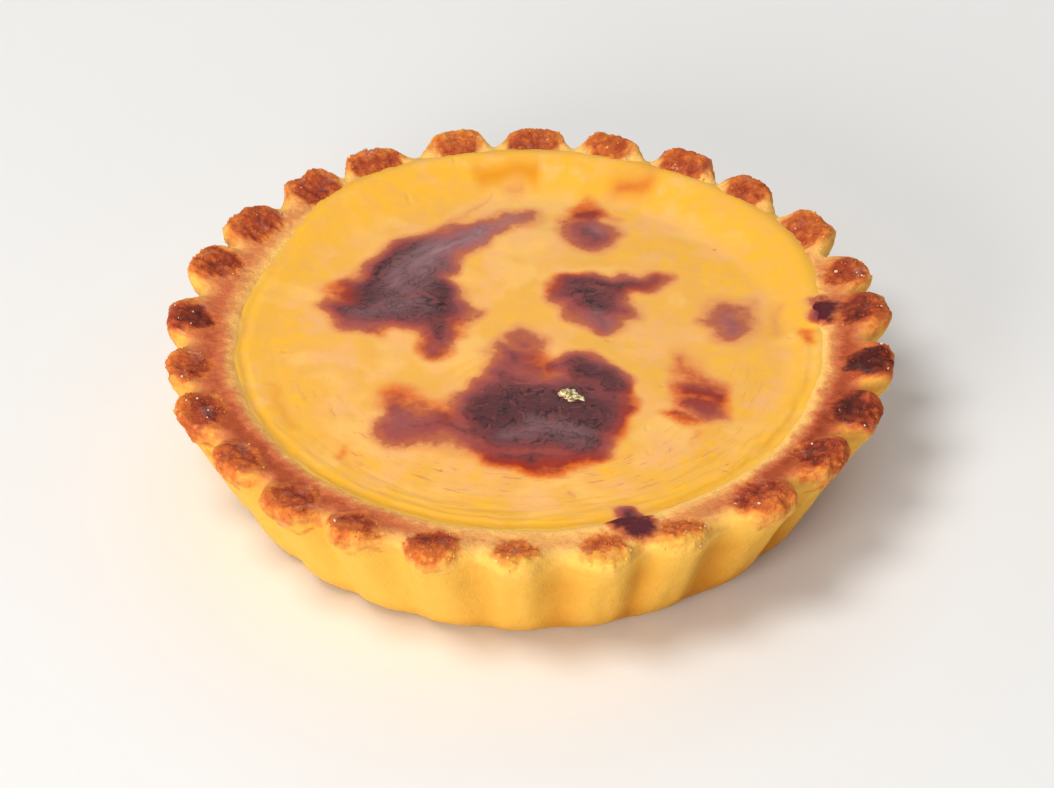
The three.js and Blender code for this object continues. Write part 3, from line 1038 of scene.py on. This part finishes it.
def flute_tree(inputs):
    """Presses the flutes, raises the knobs, browns the rim and roughens the crust of a plain lathed case."""
    tree, given = geometry_tree("Press Flutes", inputs)
    at = case_fields(tree, given)
    moved = press_flutes(tree, given, at)
    around = at.angle / (2 * math.pi) + 0.5
    band_heat, knob_heat, size = (
        curve_of(tree, around, [(row[0] / 360 + 0.5, row[column]) for row in RIM_BROWNING])
        for column in (1, 2, 3)
    )
    cap, knob = brown_knobs(tree, at, knob_heat, size)
    # Painted shade: the pastry is browned a little towards the foot, where shade falls.
    foot = at.z.ramp(4, 0.4) * at.outside * (0.05 + at.edge * 0.25)
    spill = spilt_custard(tree, at)
    band = brown_band(tree, at, band_heat).larger(spill.ramp(0.05, 0.45) * 0.66)
    rim_top = (at.down + at.edge).ramp(2.6, 0.9) * (at.reach + at.edge * 2).ramp(47.4, 45.2, 0.3, 1.0)

    # The browning and the painted shade are kept with the points before they move, and the materials read
    # them.
    geometry = given["Geometry"]
    for name, value in (
        ("browning_and_foot_shade", knob.larger(foot).smaller(1)),
        ("cap", cap),
        ("spill", spill),
        ("band", band),
        ("rim_top", rim_top),
        ("painted_shade", wall_shade(tree, at)),
    ):
        geometry = store(tree, geometry, name, value)
    geometry = add_node(tree, "GeometryNodeSetPosition", {"Geometry": geometry, "Position": moved})
    finish_tree(tree, roughen_crust(tree, geometry, given["Relief"]), given["Pastry"])
    return tree


def make_case(case):
    material = shortcrust_material(case)
    inputs = {
        "Flutes": ("Float", float(case.flutes)),
        "First Flute": ("Float", case.first_flute),
        "Underside Radius": ("Float", case.underside_radius),
        "Foot Radius": ("Float", case.foot_radius),
        "Neck Radius": ("Float", case.neck_radius),
        "Neck Height": ("Float", case.neck_height),
        "Rim Height": ("Float", case.rim_height),
        "Foot Depth": ("Float", case.foot_depth),
        "Rim Depth": ("Float", case.rim_depth),
        "Knob Rise": ("Float", case.knob_rise),
        "Unevenness": ("Float", case.unevenness),
        "Relief": ("Float", case.relief),
        "Seed": ("Float", float(case.seed)),
        "Pastry": ("Material", material),
    }
    plain = lathe_mesh("lathed_case", case_profile(case), case.flutes * 36)
    return grow("tart_case", plain, flute_tree(inputs), inputs, material)


# ---------------------------------------------------------------- the custard

def skin_tree(inputs):
    """Wrinkles and blisters the custard's skin where it is scorched, and shapes its edge at the rim."""
    tree, given = geometry_tree("Custard Skin", inputs)
    _, (x, y, z) = position_mm(tree)
    radius = distance_of(tree, x, y)
    angle = y.math("ARCTAN2", x)
    scorch = recall(tree, "scorch")
    top = z.ramp(15.5, 16.5)
    relief = given["Skin Relief"] / MM
    flat = vector_of(tree, x, y, given["Seed"])

    swell = (noise(tree, flat, 0.06, detail=2) - 0.5) * 1.2 * radius.ramp(38, 28)
    stretched = vector_of(tree, x * 0.5 - y * 0.3, y * 1.1 + x * 0.3, given["Seed"])
    crease = noise(tree, stretched, 0.7, detail=3, roughness=0.6, distortion=0.5)
    folds = (crease - 0.5).math("ABSOLUTE").ramp(0.0, 0.16) - 0.5
    blister = scorch.ramp(0.2, 0.9) * 0.34 + scorch.ramp(0.35, 0.9) * folds * relief * 0.9

    # Fine rings of wrinkled skin in front, where the custard pulled away from the rim.
    rings = noise(tree, vector_of(tree, angle * 5, radius * 1.1, given["Seed"]), 0.9, detail=3)
    front = (angle - math.radians(FRONT)).math("ABSOLUTE").ramp(math.radians(75), math.radians(25))
    ripples = (rings - 0.5) * radius.ramp(30, 36) * radius.ramp(39.4, 38.6) * (front * 5.0 + 0.6) * relief

    pores = cells(tree, flat, 0.16).ramp(0.03, 0.075, -1.0, 0.0) * 0.16
    gentle = (noise(tree, flat, 0.5, detail=3) - 0.5) * relief * 0.9
    wavering = radius + (noise(tree, flat, 0.2, detail=2) - 0.5) * 1.4
    behind = facing(tree, angle, BEHIND)
    back = behind.ramp(-0.45, 0.70)
    over = behind.ramp(0.25, 0.82)
    groove = wavering.ramp(38.0, 38.8) * wavering.ramp(39.8, 39.0) * (1 - back) * -0.30

    # At the back the custard ran up over the rim's band and stopped at the knobs.
    climb = radius.ramp(34.5, 40.2) * (back * 0.7 + over * 0.75 + 0.5) - radius.ramp(39.0, 40.9) * over * 0.7
    spread = 1 + radius.ramp(34, 40.9) * z.ramp(14, 15) * over * 5.2 / radius.larger(1)
    rise = (swell + blister + ripples + pores + gentle + groove + climb) * top
    moved = vector_of(tree, x * spread * MM, y * spread * MM, (z + rise) * MM)
    geometry = add_node(tree, "GeometryNodeSetPosition", {"Geometry": given["Geometry"], "Position": moved})
    finish_tree(tree, geometry, given["Custard"])
    return tree


def make_custard(custard):
    material = custard_material(custard)
    mesh = plug_mesh("plain_custard", custard)
    points = np.zeros(len(mesh.vertices) * 3)
    mesh.vertices.foreach_get("co", points)
    x, y, z = points.reshape(-1, 3).T / MM
    for name, strokes in (("scorch", SCORCHES), ("painted_sheen", PAINTED_SHEENS), ("amber", AMBERS), ("ember", EMBERS)):
        mark_points(mesh, name, scorch_field(x, y, strokes) * (z > SKIN_HEIGHT))
    inputs = {
        "Skin Relief": ("Float", custard.skin),
        "Seed": ("Float", float(custard.seed)),
        "Custard": ("Material", material),
    }
    return grow("custard_top", mesh, skin_tree(inputs), inputs, material)


# ---------------------------------------------------------------- crumbs

def crumb_tree(inputs):
    """Scatters rough little crumbs over the browned knobs, half sunk in the crust."""
    tree, given = geometry_tree("Scatter Crumbs", inputs)
    cap = recall(tree, "cap")
    density = cap.ramp(0.25, 0.9) * given["Density"] * 0.6e6
    points = add_node(tree, "GeometryNodeDistributePointsOnFaces",
                      {"Mesh": given["Geometry"], "Density": density, "Seed": given["Seed"]})
    crumb = add_node(tree, "GeometryNodeMeshIcoSphere", {"Radius": 1.0, "Subdivisions": 1})
    place = add_node(tree, "GeometryNodeInputPosition")
    dent = noise(tree, place, 1.1, detail=2) * 0.9 + 0.5
    shaped = add_node(tree, "ShaderNodeVectorMath", {0: place, 3: dent}, operation="SCALE")
    crumb = add_node(tree, "GeometryNodeSetPosition", {"Geometry": crumb, "Position": shaped})
    turn = random_vector(tree, (0, 0, 0), (6.283, 6.283, 6.283), 3)
    size = random_number(tree, given["Smallest"], given["Largest"], 5)
    squash = random_vector(tree, (0.7, 0.7, 0.5), (1.3, 1.3, 0.9), 8)
    scale = add_node(tree, "ShaderNodeVectorMath", {0: squash, 3: size}, operation="SCALE")
    crumbs = add_node(tree, "GeometryNodeInstanceOnPoints",
                      {"Points": points, "Instance": crumb, "Rotation": turn, "Scale": scale})
    crumbs = store(tree, crumbs, "tone", random_number(tree, 0.0, 1.0, 13), domain="INSTANCE")
    finish_tree(tree, crumbs, given["Crumb"])
    return tree


def make_crumbs(settings, case, case_piece):
    material = crumb_material(case)
    inputs = {
        "Density": ("Float", settings.density),
        "Smallest": ("Float", settings.smallest),
        "Largest": ("Float", settings.largest),
        "Seed": ("Int", settings.seed),
        "Crumb": ("Material", material),
    }
    return grow("rim_crumbs", case_piece.data.copy(), crumb_tree(inputs), inputs, material)


def make_flake(custard):
    """A pale flake that fell on the biggest scorched patch: a few small chips pressed together."""
    random = np.random.default_rng(5)
    chips = ((5.6, -11.2, 0.95), (7.0, -11.8, 0.65), (6.3, -12.4, 0.5), (7.8, -12.2, 0.4), (6.5, -10.6, 0.45))
    mesh = bpy.data.meshes.new("pale_flake")
    points, faces = [], []
    steps_round, steps_up = 14, 8
    for x, y, size in chips:
        base = len(points)
        bumps = random.uniform(0, 2 * math.pi, 6)
        for row in range(steps_up + 1):
            lift = math.pi * row / steps_up
            for step in range(steps_round):
                turn = 2 * math.pi * step / steps_round
                bulge = (
                    1 + 0.22 * math.sin(3 * turn + bumps[0]) * math.sin(lift)
                    + 0.16 * math.sin(5 * turn + 3 * lift + bumps[1])
                    + 0.12 * math.sin(4 * lift + bumps[2])
                )
                points.append((
                    (x + size * bulge * math.sin(lift) * math.cos(turn)) * MM,
                    (y + size * bulge * math.sin(lift) * math.sin(turn)) * MM,
                    custard.top + (0.35 + 0.62 * size * bulge * -math.cos(lift)) * MM,
                ))
        for row in range(steps_up):
            for step in range(steps_round):
                a = base + row * steps_round + step
                b = base + row * steps_round + (step + 1) % steps_round
                faces.append((a, b, b + steps_round, a + steps_round))
    mesh.from_pydata(points, [], faces)
    mesh.validate()
    mesh.shade_smooth()
    mesh.materials.append(flake_material())
    piece = bpy.data.objects.new("pale_flake", mesh)
    bpy.context.collection.objects.link(piece)
    return piece


# ---------------------------------------------------------------- the studio

def area_light(name, place, aim, size, power, tint):
    data = bpy.data.lights.new(name, "AREA")
    data.shape = "DISK"
    data.size = size
    data.energy = power
    data.color = tint
    light = bpy.data.objects.new(name, data)
    light.location = place
    light.rotation_euler = (Vector(aim) - Vector(place)).to_track_quat("-Z", "Y").to_euler()
    bpy.context.collection.objects.link(light)


def make_floor(stage):
    half = 2.0
    mesh = bpy.data.meshes.new("floor")
    corners = [(-half, -half, 0), (half, -half, 0), (half, half, 0), (-half, half, 0)]
    mesh.from_pydata(corners, [], [(0, 1, 2, 3)])
    mesh.materials.append(floor_material(stage))
    floor = bpy.data.objects.new("floor", mesh)
    bpy.context.collection.objects.link(floor)


def make_camera(stage, aim):
    data = bpy.data.cameras.new("camera")
    data.sensor_width = 36
    data.lens = data.sensor_width * stage.distance / stage.width
    data.clip_start = 0.01
    camera = bpy.data.objects.new("camera", data)
    level = stage.distance * math.cos(stage.elevation)
    away = Vector((level * math.sin(stage.azimuth), -level * math.cos(stage.azimuth),
                   stage.distance * math.sin(stage.elevation)))
    camera.location = Vector(aim) + away
    camera.rotation_euler = (-away).to_track_quat("-Z", "Y").to_euler()
    bpy.context.collection.objects.link(camera)
    bpy.context.scene.camera = camera


# ---------------------------------------------------------------- operators and panel

class TART_OT_bake_case(bpy.types.Operator):
    """Press and bake the fluted shortcrust case"""

    bl_idname = "tart.bake_case"
    bl_label = "Bake Case"

    def execute(self, context):
        piece = make_case(context.scene.tart.case)
        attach(piece, "root")
        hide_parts("pastry_case")
        return {"FINISHED"}


class TART_OT_set_custard(bpy.types.Operator):
    """Fill the case with custard and scorch its skin"""

    bl_idname = "tart.set_custard"
    bl_label = "Set Custard"

    def execute(self, context):
        piece = make_custard(context.scene.tart.custard)
        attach(piece, "root")
        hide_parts("custard_filling")
        return {"FINISHED"}


class TART_OT_scatter_crumbs(bpy.types.Operator):
    """Scatter crumbs on the rim and drop a pale flake on the custard"""

    bl_idname = "tart.scatter_crumbs"
    bl_label = "Scatter Crumbs"

    def execute(self, context):
        tart = context.scene.tart
        case_piece = bpy.data.objects["tart_case"]
        for piece in (make_crumbs(tart.crumbs, tart.case, case_piece), make_flake(tart.custard)):
            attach(piece, "root")
        return {"FINISHED"}


class TART_OT_light_stage(bpy.types.Operator):
    """Lay the floor, hang the lights and set up the camera"""

    bl_idname = "tart.light_stage"
    bl_label = "Light Stage"

    def execute(self, context):
        stage = context.scene.tart.stage
        middle = (0, 0, CASE_HIGH.z / 2)
        make_floor(stage)
        make_camera(stage, middle)
        area_light("key_light", (-0.38, -0.26, 0.94), middle, 0.45, stage.key, (1.0, 0.98, 0.95))
        area_light("front_light", (-0.45, -0.86, 0.34), middle, 0.45, stage.front, (1.0, 0.98, 0.95))
        area_light("back_light", (0.10, 0.85, 0.66), middle, 0.70, stage.sheen, (0.93, 0.96, 1.0))
        world = bpy.data.worlds.new("daylight")
        world.use_nodes = True
        background = world.node_tree.nodes["Background"]
        background.inputs["Color"].default_value = (0.95, 0.97, 1.0, 1)
        background.inputs["Strength"].default_value = stage.daylight
        context.scene.world = world
        context.scene.view_settings.view_transform = "Standard"
        return {"FINISHED"}


OPERATORS = (TART_OT_bake_case, TART_OT_set_custard, TART_OT_scatter_crumbs, TART_OT_light_stage)


class TART_PT_panel(bpy.types.Panel):
    """Lists the steps that make the tart"""

    bl_idname = "TART_PT_panel"
    bl_label = "Custard Tart"
    bl_space_type = "VIEW_3D"
    bl_region_type = "UI"
    bl_category = "Tart"

    def draw(self, context):
        tart = context.scene.tart
        for operator, group in zip(OPERATORS, (tart.case, tart.custard, tart.crumbs, tart.stage)):
            box = self.layout.box()
            box.operator(operator.bl_idname)
            for name in group.bl_rna.properties.keys():
                if name not in ("rna_type", "name"):
                    box.prop(group, name)


CLASSES = (
    CaseSettings, CustardSettings, CrumbSettings, StageSettings, TartSettings, *OPERATORS, TART_PT_panel,
)


def register():
    for item in CLASSES:
        bpy.utils.register_class(item)
    bpy.types.Scene.tart = PointerProperty(type=TartSettings)


def unregister():
    del bpy.types.Scene.tart
    for item in reversed(CLASSES):
        bpy.utils.unregister_class(item)


def main():
    register()
    bpy.ops.tart.bake_case()
    bpy.ops.tart.set_custard()
    bpy.ops.tart.scatter_crumbs()
    bpy.ops.tart.light_stage()


if __name__ == "__main__":
    main()
